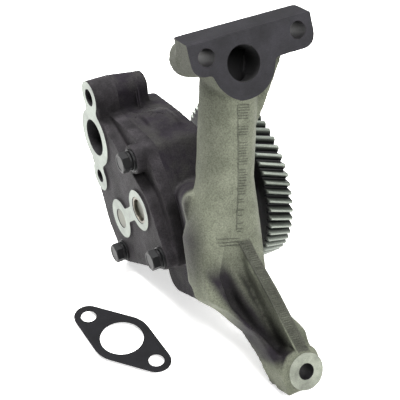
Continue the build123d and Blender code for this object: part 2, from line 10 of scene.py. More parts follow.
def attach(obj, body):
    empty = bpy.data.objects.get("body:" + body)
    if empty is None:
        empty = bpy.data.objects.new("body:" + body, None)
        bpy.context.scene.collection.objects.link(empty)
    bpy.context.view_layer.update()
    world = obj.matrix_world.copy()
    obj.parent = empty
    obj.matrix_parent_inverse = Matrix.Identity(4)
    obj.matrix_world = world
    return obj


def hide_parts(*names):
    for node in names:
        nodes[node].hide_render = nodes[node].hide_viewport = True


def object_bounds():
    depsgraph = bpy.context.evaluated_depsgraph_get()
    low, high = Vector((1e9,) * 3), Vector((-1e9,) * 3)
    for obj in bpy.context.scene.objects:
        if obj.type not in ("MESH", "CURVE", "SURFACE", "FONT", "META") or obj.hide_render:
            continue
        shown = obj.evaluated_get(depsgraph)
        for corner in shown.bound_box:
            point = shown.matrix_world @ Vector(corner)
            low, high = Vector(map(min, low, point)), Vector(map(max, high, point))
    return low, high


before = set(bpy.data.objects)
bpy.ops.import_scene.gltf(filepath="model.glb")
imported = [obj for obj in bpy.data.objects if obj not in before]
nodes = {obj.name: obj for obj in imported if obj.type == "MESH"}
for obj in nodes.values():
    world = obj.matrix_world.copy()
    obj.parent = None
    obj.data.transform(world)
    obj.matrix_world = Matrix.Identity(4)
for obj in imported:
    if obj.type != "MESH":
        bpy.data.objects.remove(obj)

# Engine oil pump: cast-iron gear pump with a helical drive wheel and its loose suction gasket.
# Blender units are metres, sizes in the dictionaries are millimetres.

mm = 0.001
cadLow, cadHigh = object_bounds()
print("frame loaded:", len(nodes), "nodes")

# The pump's own directions: along the shaft, rise up the column, out to the engine.
pumpPlace = {
    "portAlong": 54.6, "portRise": 93.2, "portOut": 100,      # delivery port, the model's origin
    "footBottom": -129.5, "footBack": 80, "lugRise": -40.2, "lugOut": -54.9, "lugRadius": 10.5,
}
reachRise = pumpPlace["footBottom"] - pumpPlace["lugRise"]
reachOut = pumpPlace["footBack"] - pumpPlace["lugOut"]
leanBack = asin(-pumpPlace["lugRadius"] / hypot(reachRise, reachOut)) - atan2(reachRise, reachOut)
alongDir = Vector((1, 0, 0))
riseDir = Vector((0, sin(leanBack), cos(leanBack)))
outDir = Vector((0, -cos(leanBack), sin(leanBack)))


def place(along, rise, out):
    return mm * ((along - pumpPlace["portAlong"]) * alongDir + (rise - pumpPlace["portRise"]) * riseDir
                 + (out - pumpPlace["portOut"]) * outDir)


def linearColour(hexColour):
    channels = [int(hexColour[i:i + 2], 16) / 255 for i in (1, 3, 5)]
    return tuple(c / 12.92 if c <= 0.04045 else ((c + 0.055) / 1.055) ** 2.4 for c in channels) + (1,)


def addNode(tree, kind, settings=None, sockets=None, stops=()):
    # sockets take a value or a link; stops are a colour ramp's (position, colour)
    node = tree.nodes.new(kind)
    for name, value in (settings or {}).items():
        setattr(node, name, value)
    for name, value in (sockets or {}).items():
        if isinstance(value, bpy.types.NodeSocket):
            tree.links.new(value, node.inputs[name])
        else:
            node.inputs[name].default_value = value
    for number, (position, colour) in enumerate(stops):
        node.color_ramp.elements[number].position = position
        node.color_ramp.elements[number].color = colour
    return node


def startMaterial(name):
    material = bpy.data.materials.new(name)
    material.use_nodes = True
    material.node_tree.nodes.clear()
    return material, material.node_tree, addNode(material.node_tree, "ShaderNodeTexCoord").outputs["Object"]


def finishMaterial(tree, sockets):
    shader = addNode(tree, "ShaderNodeBsdfPrincipled", None, sockets)
    addNode(tree, "ShaderNodeOutputMaterial", None, {"Surface": shader.outputs["BSDF"]})


def greyShade(value):
    return (value, value, value, 1)


def fadeAlong(tree, position, direction, start, end):
    # 0 at start to 1 at end, read in mm along one direction of the pump
    read = addNode(tree, "ShaderNodeVectorMath", {"operation": "DOT_PRODUCT"}, {
        0: position, 1: tuple(direction)})
    offset = -place(0, 0, 0).dot(direction) / mm
    return addNode(tree, "ShaderNodeMapRange", {"interpolation_type": "SMOOTHSTEP"}, {
        "Value": read.outputs["Value"], "From Min": (start - offset) * mm, "From Max": (end - offset) * mm,
        "To Min": 0.0, "To Max": 1.0}).outputs["Result"]


# Grey iron as it leaves a sand mould: a matt grey-green skin with sand grain, with painted shade and grime in
# its corners, and oil stain with painted shade over the pump body and in the arm's hollow, painted shade down
# the column's left flank and on the neck's side wall. The sand's grain is about 0.3 mm, too fine to show, and
# is drawn at 1 mm.
castSkin = {
    # the stain colour paints oil stain and painted shade over the bands; the grime colour paints shade and
    # grime into the corners
    "pale": "#6b6e60", "deep": "#5a5d50", "stainAndShade": "#1e1a20", "cornerShadeAndGrime": "#1d1c1c",
    "metallic": 0.2, "roughness": 0.7, "gloss": 0.15,
    "grainMm": 1.0, "blotchMm": 14, "reliefMm": 0.25, "cornerShadeReachMm": 14,
}


def makeCastSkin(name, look, stainAndShadeBands):
    # a band of oil stain and painted shade is its strength and the fades that bound it; a mix takes its colours
    # in sockets 6 and 7
    material, tree, position = startMaterial(name)
    blotch, grain = (addNode(tree, "ShaderNodeTexNoise", None, {
        "Vector": position, "Scale": 1000 / sizeMm, "Detail": detail, "Roughness": rough}).outputs["Fac"]
        for sizeMm, detail, rough in ((look["blotchMm"], 4, 0.6), (look["grainMm"], 3, 0.75)))
    skin = addNode(tree, "ShaderNodeValToRGB", None, {"Fac": blotch}, [
        (0.35, linearColour(look["deep"])), (0.68, linearColour(look["pale"]))]).outputs["Color"]
    speck = addNode(tree, "ShaderNodeValToRGB", None, {"Fac": grain}, [
        (0.32, greyShade(0.5)), (0.62, greyShade(1.15))]).outputs["Color"]
    stainAndShade = None
    for strength, *band in stainAndShadeBands:
        spread = strength
        for direction, start, end in band:
            spread = addNode(tree, "ShaderNodeMath", {"operation": "MULTIPLY", "use_clamp": True}, {
                0: spread, 1: fadeAlong(tree, position, direction, start, end)}).outputs[0]
        stainAndShade = spread if stainAndShade is None else addNode(tree, "ShaderNodeMath", {
            "operation": "MAXIMUM", "use_clamp": True}, {0: stainAndShade, 1: spread}).outputs[0]
    # oil stain and painted shade darken the skin inside the bands
    if stainAndShade is not None:
        uneven = addNode(tree, "ShaderNodeValToRGB", None, {"Fac": blotch}, [
            (0.25, greyShade(0.8)), (0.6, greyShade(1))]).outputs["Color"]
        stainAndShadeAmount = addNode(tree, "ShaderNodeMath", {"operation": "MULTIPLY", "use_clamp": True}, {
            0: stainAndShade, 1: uneven})
        skin = addNode(tree, "ShaderNodeMix", {"data_type": "RGBA"}, {
            0: stainAndShadeAmount.outputs[0], 6: skin, 7: linearColour(look["stainAndShade"])}).outputs[2]
    # painted shade with grime: the skin darkens in corners and recesses, where ambient occlusion finds them
    corner = addNode(tree, "ShaderNodeAmbientOcclusion", {"samples": 8}, {
        "Distance": look["cornerShadeReachMm"] * mm})
    cornerShadeMask = addNode(tree, "ShaderNodeValToRGB", None, {"Fac": corner.outputs["AO"]}, [
        (0.35, greyShade(0.85)), (0.95, greyShade(0))]).outputs["Color"]
    skin = addNode(tree, "ShaderNodeMix", {"data_type": "RGBA"}, {
        0: cornerShadeMask, 6: skin, 7: linearColour(look["cornerShadeAndGrime"])}).outputs[2]
    skin = addNode(tree, "ShaderNodeMix", {"data_type": "RGBA", "blend_type": "MULTIPLY"}, {
        0: 0.85, 6: skin, 7: speck}).outputs[2]
    relief = addNode(tree, "ShaderNodeBump", None, {"Height": grain, "Distance": look["reliefMm"] * mm})
    finishMaterial(tree, {"Base Color": skin, "Metallic": look["metallic"], "Roughness": look["roughness"],
                          "Specular IOR Level": look["gloss"], "Normal": relief.outputs["Normal"]})
    return material


# Directions that the darkening follows, oil stain and painted shade together, and its bands: strength, then
# (direction, start, end) in mm.
hollowDir = alongDir + 0.42 * riseDir      # across the arm's hollow
ribDir = alongDir + 0.286 * riseDir        # across the arm's rib
neckDir = alongDir - 0.2 * riseDir         # away from the side wall where the column widens
columnDir = alongDir - 0.298 * riseDir     # across the leaning column
stainAndShadeBands = [
    [1.0, (outDir, 74, 58), (riseDir, -52, -36)],                                   # pump body: oil stain and painted shade
    [0.9, (neckDir, 10, -1), (riseDir, -52, -28), (riseDir, 46, 20)],               # painted shade on the side wall of the neck, where it meets the column
    [1.0, (outDir, 98, 95), (riseDir, -18, -38), (riseDir, -112, -103),             # deep side of the hollow: oil stain and painted shade
     (hollowDir, -17, -10), (hollowDir, 9, 0)],
    [0.3, (columnDir, 22, 7), (riseDir, 0, 40)],                                    # painted shade down the left flank of the column
    [0.4, (outDir, 97, 94), (riseDir, -16, -60), (riseDir, -112, -103),             # rest of the hollow: oil stain and painted shade
     (hollowDir, -17, -10), (ribDir, 25, 23)],
    [0.6, (outDir, 99, 97.6), (outDir, 91, 94), (riseDir, -14, -18), (riseDir, -108, -102),     # rib: darker over its front face
     (ribDir, 20.3, 21.3), (ribDir, 29.5, 28.5)],
    [0.6, (alongDir, 30, 20), (riseDir, 84, 95)],                                   # flange's left lug: darker towards its left end
]
bodySkin = makeCastSkin("sandCastGreyIron", castSkin, stainAndShadeBands)
# the mould's ripple is painted darker than the skin round it: painted shade along the ridges
shadedRippleSkin = makeCastSkin("sandCastRipple", castSkin | {"pale": "#5d6054", "deep": "#43453c"}, [])
# the cover's skin is oiled all over: near black with a grey bloom
coverSkin = makeCastSkin("sandCastCoverIron", castSkin | {"pale": "#343134", "deep": "#1a181a"}, [])


def makeMachined(name, pale, deep, metallic, roughness, lineMm, stretch, gloss=0.5):
    # fine tool lines over an even grey, clouded by oil; real ones lie about 0.2 mm apart, too fine to show,
    # so they are drawn coarser
    material, tree, position = startMaterial(name)
    drawn = addNode(tree, "ShaderNodeMapping", None, {"Vector": position, "Scale": stretch})
    lines = addNode(tree, "ShaderNodeTexNoise", None, {
        "Vector": drawn.outputs["Vector"], "Scale": 1000 / lineMm,
        "Detail": 2, "Roughness": 0.5}).outputs["Fac"]
    cloud = addNode(tree, "ShaderNodeTexNoise", None, {
        "Vector": position, "Scale": 1000 / 14, "Detail": 4, "Roughness": 0.65}).outputs["Fac"]
    colour = addNode(tree, "ShaderNodeValToRGB", None, {"Fac": lines}, [
        (0.3, linearColour(deep)), (0.7, linearColour(pale))]).outputs["Color"]
    shade = addNode(tree, "ShaderNodeValToRGB", None, {"Fac": cloud}, [
        (0.3, greyShade(0.55)), (0.7, greyShade(1.3))]).outputs["Color"]
    colour = addNode(tree, "ShaderNodeMix", {"data_type": "RGBA", "blend_type": "MULTIPLY"}, {
        0: 1.0, 6: colour, 7: shade}).outputs[2]
    relief = addNode(tree, "ShaderNodeBump", None, {"Height": lines, "Distance": 0.03 * mm})
    finishMaterial(tree, {"Base Color": colour, "Metallic": metallic, "Roughness": roughness,
                          "Specular IOR Level": gloss, "Normal": relief.outputs["Normal"]})
    return material


machinedLooks = {   # pale and deep colour, metallic, roughness, mm between tool lines, their stretch, gloss
    "milledIronOiled": ("#252428", "#1a191d", 0.6, 0.5, 1.4, (1, 6, 6)),    # dark, with a dull oily sheen
    "milledIronBright": ("#6f776e", "#5c635b", 0.45, 0.4, 1.2, (1, 5, 5)),    # pale pads, fresh from the cutter
    "milledIronDry": ("#85897d", "#6d7167", 0.45, 0.5, 1.2, (1, 5, 5)),    # pale and matt on the foot
    "oiledBoreIron": ("#2a282b", "#1c1b1d", 0.4, 0.55, 1.0, (1, 1, 1)),    # bored, dark with oil
    "shadeBlackBoreIron": ("#0f0e10", "#080809", 0.0, 0.9, 1.0, (1, 1, 1)),    # near black: painted shade down the deep bores
    "groundShaftSteel": ("#55564a", "#424339", 0.6, 0.45, 0.8, (6, 1, 1)),    # ground round, smooth and greyish
    "boredBronze": ("#6d695f", "#55524a", 0.9, 0.4, 0.8, (6, 1, 1)),    # dull bronze, browner than iron
    "blackOxideSteel": ("#0e0e10", "#080809", 0.5, 0.5, 1.0, (1, 1, 1)),    # chemically blacked, satin
    "pressedGasketFibre": ("#0f0f13", "#0a0a0c", 0.0, 0.85, 0.6, (1, 1, 1), 0.2),    # pressed fibre, dead matt
}
(milledDark, milledPale, milledGrey, oiledBore, shadeBlackBore, groundSteel, bearingBronze, blackOxide,
 pressedFibre) = (makeMachined(name, *look) for name, look in machinedLooks.items())

# Hobbed steel of the wheel with painted light by radius: painted shade, near black, over the web and in the
# gaps between the teeth, turning to a painted highlight, grey and bright, towards the tips of the teeth.
gearLook = {
    "shadedSteel": ("#0c0c0d", "#161618"), "litSteel": ("#60655f", "#868c83"), "highlightStartMm": 56.8, "highlightFullMm": 60.4,
    "metallic": 0.7, "roughness": 0.42, "grainMm": 1.2, "reliefMm": 0.04,
}
wheelSteel, tree, position = startMaterial("hobbedWheelSteel")
outward = addNode(tree, "ShaderNodeVectorMath", {"operation": "SUBTRACT"}, {
    0: position, 1: tuple(place(0, 0, 0))})
radial = addNode(tree, "ShaderNodeVectorMath", {"operation": "MULTIPLY"}, {
    0: outward.outputs["Vector"], 1: (0, 1, 1)})
distance = addNode(tree, "ShaderNodeVectorMath", {"operation": "LENGTH"}, {0: radial.outputs["Vector"]})
# painted light: 0 in the painted shade below the teeth, 1 in the painted highlight at their tips
worn = addNode(tree, "ShaderNodeMapRange", None, {
    "Value": distance.outputs["Value"], "From Min": gearLook["highlightStartMm"] * mm,
    "From Max": gearLook["highlightFullMm"] * mm})
drawn = addNode(tree, "ShaderNodeMapping", None, {"Vector": position, "Scale": (4, 1, 1)}).outputs["Vector"]
grain = addNode(tree, "ShaderNodeTexNoise", None, {
    "Vector": drawn, "Scale": 1000 / gearLook["grainMm"], "Detail": 3, "Roughness": 0.7}).outputs["Fac"]
shadedSteel, litSteel = (addNode(tree, "ShaderNodeValToRGB", None, {"Fac": grain}, [
    (0.3, linearColour(gearLook[tone][0])), (0.7, linearColour(gearLook[tone][1]))]).outputs["Color"]
    for tone in ("shadedSteel", "litSteel"))
relief = addNode(tree, "ShaderNodeBump", None, {"Height": grain, "Distance": gearLook["reliefMm"] * mm})
litAndShadedTeeth = addNode(tree, "ShaderNodeMix", {"data_type": "RGBA"}, {
    0: worn.outputs["Result"], 6: shadedSteel, 7: litSteel})
finishMaterial(tree, {"Base Color": litAndShadedTeeth.outputs[2], "Metallic": gearLook["metallic"],
                      "Roughness": gearLook["roughness"], "Normal": relief.outputs["Normal"]})
print("materials made")


def meshObject(name, mesh, material):
    made = bpy.data.objects.new(name, mesh)
    mesh.materials.clear()
    mesh.materials.append(material)
    bpy.context.collection.objects.link(made)
    return made


def applied(thing):
    # the evaluated shape becomes a plain mesh and the modifiers go
    graph = bpy.context.evaluated_depsgraph_get()
    mesh = bpy.data.meshes.new_from_object(thing.evaluated_get(graph))
    thing.modifiers.clear()
    thing.data = mesh
    return thing


def rod(work, start, end, radius, endRadius=None, sides=64):
    # closed cylinder or cone between two places, added to a bmesh
    first, last = place(*start), place(*end)
    turn = (last - first).to_track_quat("Z", "Y").to_matrix().to_4x4()
    wide = radius * mm
    narrow = wide if endRadius is None else endRadius * mm
    bmesh.ops.create_cone(work, cap_ends=True, segments=sides, radius1=wide, radius2=narrow,
                          depth=(last - first).length, matrix=Matrix.Translation((first + last) / 2) @ turn)


def block(work, corners):
    # convex block round a list of places
    made = [work.verts.new(place(*corner)) for corner in corners]
    hull = bmesh.ops.convex_hull(work, input=made)
    spare = {part for part in hull["geom_interior"] + hull["geom_unused"]
             if isinstance(part, bmesh.types.BMVert)}
    bmesh.ops.delete(work, geom=list(spare), context="VERTS")


def bmeshObject(name, work, material):
    bmesh.ops.recalc_face_normals(work, faces=work.faces)
    mesh = bpy.data.meshes.new(name)
    work.to_mesh(mesh)
    work.free()
    return meshObject(name, mesh, material)


def smoothShaded(thing, angle=38):
    thing.data.shade_smooth()
    thing.data.set_sharp_from_angle(angle=radians(angle))
    flat = [number for number, material in enumerate(thing.data.materials)
            if material.name.startswith("milled")]
    for face in thing.data.polygons:
        face.use_smooth = face.material_index not in flat


def mergedCopy(node, name, material):
    work = bmesh.new()
    work.from_mesh(nodes[node].data)
    bmesh.ops.remove_doubles(work, verts=work.verts, dist=0.000002)
    return bmeshObject(name, work, material)


def addStock(thing, planes):
    # metal left on the faces that are machined later: their points move out, edge points with both faces
    for vertex in thing.data.vertices:
        shift = Vector()
        for origin, normal, depth, outLimit in planes:
            onPlane = abs((vertex.co - origin).dot(normal)) < 0.00002
            if onPlane and (vertex.co - place(0, 0, outLimit)).dot(outDir) < 0:
                shift += normal * depth * mm
        vertex.co += shift


def roughen(thing, heightMm, sizeMm):
    # uneven skin left by the sand
    normals = [vertex.normal.copy() for vertex in thing.data.vertices]
    for vertex, normal in zip(thing.data.vertices, normals):
        vertex.co += normal * noiseAt(vertex.co / (sizeMm * mm)) * heightMm * mm


def castShape(thing, look):
    # sand-cast form: one skin, soft edges and filled corners
    remesh = thing.modifiers.new("skin", "REMESH")
    remesh.mode = "VOXEL"
    remesh.voxel_size = look["voxel"] * mm
    soften = thing.modifiers.new("soften", "SMOOTH")
    soften.factor = 0.5
    soften.iterations = look["softening"]
    applied(thing)


def cut(thing, cutter, mode="DIFFERENCE"):
    tool = thing.modifiers.new("machining", "BOOLEAN")
    tool.operation = mode
    tool.object = cutter
    tool.solver = "MANIFOLD"
    tool.material_mode = "TRANSFER"
    applied(thing)
    bpy.data.objects.remove(cutter)


def bored(thing, name, material, *shape):
    # a round cutter takes the metal between two places
    work = bmesh.new()
    rod(work, *shape)
    cut(thing, bmeshObject(name, work, material))


def planed(thing, name, material, corners, mode="DIFFERENCE"):
    # a flat-sided cutter takes the metal inside its corners
    work = bmesh.new()
    block(work, corners)
    cut(thing, bmeshObject(name, work, material), mode)


def paintFaces(thing, material, test):
    if material.name not in thing.data.materials:
        thing.data.materials.append(material)
    number = list(thing.data.materials).index(material)
    for face in thing.data.polygons:
        if test(face.center, face.normal):
            face.material_index = number


def onFace(origin, normal):
    return lambda centre, facing: abs((centre - origin).dot(normal)) < 0.00005 and facing.dot(normal) > 0.99


castingSizes = {
    "voxel": 1.25, "softening": 6, "stock": 4, "sandHeight": 0.2, "sandSize": 7,
    "engineFace": 100, "joint": 18, "rearBoss": 68.5, "rearFace": 26, "topFront": 112.8, "topSlope": 17.5,
    "edgeBreak": 0.5, "footTop": -60,
    "clearAlong": (-40, 140), "clearRise": (-160, 150), "clearOut": 130,     # cutters pass the ends
    "jointRise": (-75, 110), "jointOut": (-100, 33), "jointReach": 12, "jointPlaneOut": 35,
    "flangeBolts": [(30.5, 102.7), (97.0, 103.8)], "footBolt": (51.7, -116.2), "flangeHole": 5.75,
    "plugBacks": (72, 76, 82), "holePlug": 0.6, "portPlug": 0.8, "portPlugBack": 84,
    "outlet": (54.6, 93.2, 11.6), "columnOut": 80.4, "columnFoot": 26.8, "columnHead": (57.2, 102),
    "columnBore": 10,
    "chamberEnd": 46.3, "gears": [(0, 0), (-12.0, -40.25)], "chamber": 24.8, "chamberPlug": 25.2,
    "bushSeat": 10.02, "pinSeat": 7.52, "pinDepth": 6.5, "shaftPlug": 10.6,
    "inlet": (49.4, -54.3, 14), "inletDepth": 24, "inletPlug": 14.4,
    "upperHole": (80.16, -44.78, 6.5), "upperDepth": 30, "upperPlug": 7, "bossPlug": (36, 43.9),
    "lowerHole": (18.64, -63.82, 5.1), "lowerDepth": 12, "lowerPlug": 5.6, "earPlugDepth": 8,
    "coverBolts": [(37.4, 7.0), (-32.7, 17.7), (-40.2, -54.9)], "boltHole": 4.02, "boltDepth": 15,
    "boltPlug": 4.6, "boltPlugDepth": 17, "passagePlug": [(12, -8), (12, -30), (40, -45), (60, -60)],
    "crown": (29, -22), "crownRadius": 33, "crownAlong": (25, 45, 60), "crownFade": 19,
    "ribTop": 97, "ribRoot": 76, "ribSpread": 2.2,
    "ribs": [[(25, -14), (32, -14), (45.5, -56), (38, -58)], [(38, -58), (45.5, -56), (57, -99), (49, -103)]],
    "hollowRidge": [(19, -30, 84), (40, -92, 75.5)], "hollowRidgeRadius": 5.5,
    "hollowLip": [(11, -9), (28, -14), (11, -11.6), (29, -16.6), (12, -14), (29, -19)],
    "lipStep": 1.5, "lipWidth": 0.4, "lipHeight": 0.35,
    "partingLine": [(44.6, 69), (36.1, 32.7), (24.8, -10.3)],
    "beadStep": 3, "beadHeight": 0.35, "beadHalfWidth": 0.5,
    "ribLine": [(29, -16), (34.5, -30), (42, -57), (53, -100)],
    "rippleSeed": 7, "rippleStep": 1.7, "rippleWidth": (0.22, 0.38), "rippleHeight": (0.2, 0.42),
    # line that the ripple follows, its left and right ends beside it, fade and slope
    "ripples": [("partingLine", 0.4, 9, 90, 0.25), ("ribLine", -3.4, 3.2, 1000, 0.15)],
    "wrinkles": 16, "wrinkleAlong": (21, 40), "wrinkleOut": (-34, -6), "wrinkleRun": (3, 8),
    "wrinkleLean": (-0.9, -0.2, 0.1, 1.4), "wrinkleWidth": (0.3, 0.6), "wrinkleHeight": (0.2, 0.5),
}


def machineBody(thing, look):
    face, joint, top, rear = look["engineFace"], look["joint"], look["topFront"], look["rearBoss"]
    planed(thing, "engineFaceCut", milledDark, [(a, r, o) for a in look["clearAlong"]
                                                for r in look["clearRise"] for o in (face, look["clearOut"])])
    planed(thing, "jointCut", milledDark, [(a, r, o) for a in (joint - look["jointReach"], joint)
                                           for r in look["jointRise"] for o in look["jointOut"]])
    slope = tan(radians(look["topSlope"]))
    planed(thing, "topCut", milledDark, [(a, r, o) for a in look["clearAlong"] for r, o in (
        (top - 15 * slope, 115), (top + 60, 115), (top + 60, 40), (top + 60 * slope, 40))])
    # corner between the top and the engine face, broken with a file
    broken = top - look["edgeBreak"]
    planed(thing, "edgeBreak", milledDark, [(a, r, o) for a in look["clearAlong"] for r, o in (
        (broken - 30, 130), (broken + 30, 130), (broken + 40, 60))])
    bored(thing, "rearCut", milledDark, (rear - 0.001, 0, 0), (rear + 9, 0, 0), look["rearFace"])
    for centre in look["flangeBolts"] + [look["footBolt"]]:
        bored(thing, "boltHole", oiledBore, (*centre, 110), (*centre, 40), look["flangeHole"])
    *port, portRadius = look["outlet"]
    middle = look["columnOut"]
    # the deep outlet and column bores take the near-black painted shade
    bored(thing, "outletBore", shadeBlackBore, (*port, 110), (*port, middle), portRadius)
    bored(thing, "columnBore", shadeBlackBore, (look["columnFoot"], 0, middle), (*look["columnHead"], middle),
          look["columnBore"])
    before, floor = joint - 6, look["chamberEnd"]
    for gear in look["gears"]:
        bored(thing, "gearChamber", oiledBore, (before, *gear), (floor, *gear), look["chamber"])
    for centre, radius, start, end in (
            (look["gears"][0], look["bushSeat"], floor - 2, rear + 8),
            (look["gears"][1], look["pinSeat"], floor - 2, floor + look["pinDepth"]),
            (look["inlet"][:2], look["inlet"][2], before, joint + look["inletDepth"]),
            (look["upperHole"][:2], look["upperHole"][2], before, joint + look["upperDepth"]),
            (look["lowerHole"][:2], look["lowerHole"][2], before, joint + look["lowerDepth"]),
            *((bolt, look["boltHole"], before, joint + look["boltDepth"]) for bolt in look["coverBolts"])):
        bored(thing, "bore", oiledBore, (start, *centre), (end, *centre), radius)


def plugHoles(work, look):
    # the holes are closed before the skin is cast and machined again afterwards
    front, joint, rear = look["engineFace"] + look["stock"], look["joint"], look["rearBoss"]
    for centre, back in zip(look["flangeBolts"] + [look["footBolt"]], look["plugBacks"]):
        rod(work, (*centre, front), (*centre, back), look["flangeHole"] + look["holePlug"], sides=24)
    *port, portRadius = look["outlet"]
    rod(work, (*port, front), (*port, look["portPlugBack"]), portRadius + look["portPlug"], sides=32)
    middle = look["columnOut"]
    rod(work, (look["columnFoot"], 0, middle), (*look["columnHead"], middle),
        look["columnBore"] + look["portPlug"], sides=32)
    # the body's round crown, and the ridge in the arm's hollow
    low, high, end = ((along, *look["crown"]) for along in look["crownAlong"])
    rod(work, low, high, look["crownRadius"])
    rod(work, high, end, look["crownRadius"], look["crownFade"])
    rod(work, *look["hollowRidge"], look["hollowRidgeRadius"])
    before, behind = joint - look["stock"], joint + look["jointReach"]
    for centre in look["gears"]:
        rod(work, (before, *centre), (behind, *centre), look["chamberPlug"])
    inlet, upper, lower = look["inlet"][:2], look["upperHole"][:2], look["lowerHole"][:2]
    rod(work, (before, *inlet), (behind, *inlet), look["inletPlug"])
    block(work, [(along, *corner) for along in (before, behind) for corner in look["passagePlug"]])
    for centre, radius in ((upper, look["upperPlug"]), (lower, look["lowerPlug"])):
        rod(work, (before, *centre), (joint + look["earPlugDepth"], *centre), radius)
    bossStart, bossEnd = look["bossPlug"]
    rod(work, (bossStart, *upper), (bossEnd, *upper), look["upperPlug"])
    for centre in look["coverBolts"]:
        rod(work, (before, *centre), (joint + look["boltPlugDepth"], *centre), look["boltPlug"])
    rod(work, (rear - 8, 0, 0), (rear + look["stock"], 0, 0), look["shaftPlug"])


def skinRings(work, rings, closed=False):
    # quads from each ring of points to the next; an open run gets a face on each end
    rows = [[work.verts.new(point) for point in ring] for ring in rings]
    following = rows[1:] + rows[:1] if closed else rows[1:]
    for near, far in zip(rows, following):
        for i in range(len(near)):
            j = (i + 1) % len(near)
            work.faces.new((near[i], near[j], far[j], far[i]))
    if not closed:
        work.faces.new(rows[0])
        work.faces.new(rows[-1])


def addRibs(thing, look):
    # the arm's stiffening rib, kept crisp where it stands out of the softened skin
    for rib in look["ribs"]:
        middleAlong = sum(along for along, risen in rib) / 4
        middleRise = sum(risen for along, risen in rib) / 4
        corners = []
        for along, risen in rib:
            reach = hypot(along - middleAlong, risen - middleRise)
            spread = look["ribSpread"] * (1 if along > middleAlong else -1)
            corners.append((along, risen, look["ribTop"]))
            corners.append((along + spread, risen + 2 * (risen - middleRise) / reach, look["ribRoot"]))
        planed(thing, "rib", bodySkin, corners, "UNION")


def bead(work, spots, halfWidth, height):
    # low ridge that follows the skin through a run of (point, normal)
    rings = []
    for i, (spot, normal) in enumerate(spots):
        run = spots[min(i + 1, len(spots) - 1)][0] - spots[max(i - 1, 0)][0]
        side = normal.cross(run).normalized() * halfWidth * mm
        rings.append([spot + side, spot + normal * height * mm, spot - side, spot - normal * 0.5 * mm])
    skinRings(work, rings)


def alongLine(line, step):
    # evenly spaced places on a bent line of (along, rise)
    for (a, r), (nextA, nextR) in zip(line, line[1:]):
        count = max(1, round(hypot(nextA - a, nextR - r) / step))
        for i in range(count):
            yield a + (nextA - a) * i / count, r + (nextR - r) * i / count


def rippleSkin(thing, look):
    # parting line down the column, and the fine ripple that the mould leaves beside it and over the rib
    graph = bpy.context.evaluated_depsgraph_get()
    skin = BVHTree.FromObject(thing, graph)
    chance = Random(look["rippleSeed"])
    thing.data.materials.append(shadedRippleSkin)
    work = bmesh.new()
    work.from_mesh(thing.data)

    def onSkin(along, risen):
        return skin.ray_cast(place(along, risen, 140), -outDir)[:2]

    quarters = [i / 4 for i in range(5)]
    for _ in range(look["wrinkles"]):
        along, out, run = (chance.uniform(*look["wrinkle" + name]) for name in ("Along", "Out", "Run"))
        lean = chance.choice(look["wrinkleLean"])
        spots = [skin.ray_cast(place(along + run * part, 140, out + lean * run * part), -riseDir)[:2]
                 for part in quarters]
        bead(work, spots, chance.uniform(*look["wrinkleWidth"]), chance.uniform(*look["wrinkleHeight"]))
    skinFaces = len(work.faces)
    parting = [onSkin(*spot) for spot in alongLine(look["partingLine"], look["beadStep"])]
    bead(work, parting, look["beadHalfWidth"], look["beadHeight"])
    for name, left, right, fade, slope in look["ripples"]:
        line = look[name]
        for along, risen in alongLine(line, look["rippleStep"]):
            worn = min(1, (line[0][1] - risen) / fade)
            if chance.random() < 0.6 * worn:
                continue
            low = left + chance.uniform(0, 0.5)
            high = right - (right - left) * chance.uniform(0.5 * worn, 0.2 + 0.6 * worn)
            spots = [onSkin(along + low + (high - low) * part, risen - slope * (high - low) * part)
                     for part in quarters]
            bead(work, spots, chance.uniform(*look["rippleWidth"]), chance.uniform(*look["rippleHeight"]))
    for start, end in zip(look["hollowLip"][::2], look["hollowLip"][1::2]):
        lip = [onSkin(*spot) for spot in alongLine([start, end], look["lipStep"])]
        bead(work, lip, look["lipWidth"], look["lipHeight"])
    work.faces.ensure_lookup_table()
    # the ripple beads take the darker skin, painted shade along the ridges
    for face in work.faces[skinFaces:]:
        face.material_index = len(thing.data.materials) - 1
    bmesh.ops.recalc_face_normals(work, faces=work.faces)
    work.to_mesh(thing.data)
    work.free()


casting = mergedCopy("main_casting", "mainCasting", bodySkin)
topNormal = (riseDir + tan(radians(castingSizes["topSlope"])) * outDir).normalized()
addStock(casting, [
    (place(0, 0, castingSizes["engineFace"]), outDir, castingSizes["stock"], 200),
    (place(castingSizes["joint"], 0, 0), -alongDir, castingSizes["stock"], castingSizes["jointPlaneOut"]),
    (place(castingSizes["rearBoss"], 0, 0), alongDir, castingSizes["stock"], 200),
    (place(0, castingSizes["topFront"], castingSizes["engineFace"]), topNormal, castingSizes["stock"], 200)])
plugs = bmesh.new()
plugs.from_mesh(casting.data)
plugHoles(plugs, castingSizes)
plugs.to_mesh(casting.data)
plugs.free()
castShape(casting, castingSizes)
roughen(casting, castingSizes["sandHeight"], castingSizes["sandSize"])
print("casting skin:", len(casting.data.polygons), "faces")
addRibs(casting, castingSizes)
machineBody(casting, castingSizes)
onEngineFace = onFace(place(0, 0, castingSizes["engineFace"]), outDir)
footTop = place(0, castingSizes["footTop"], castingSizes["engineFace"])
paintFaces(casting, milledGrey,
           lambda centre, facing: onEngineFace(centre, facing) and (centre - footTop).dot(riseDir) < 0)
rippleSkin(casting, castingSizes)
smoothShaded(casting)
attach(casting, "pump")
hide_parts("main_casting")
print("casting machined:", len(casting.data.polygons), "faces")

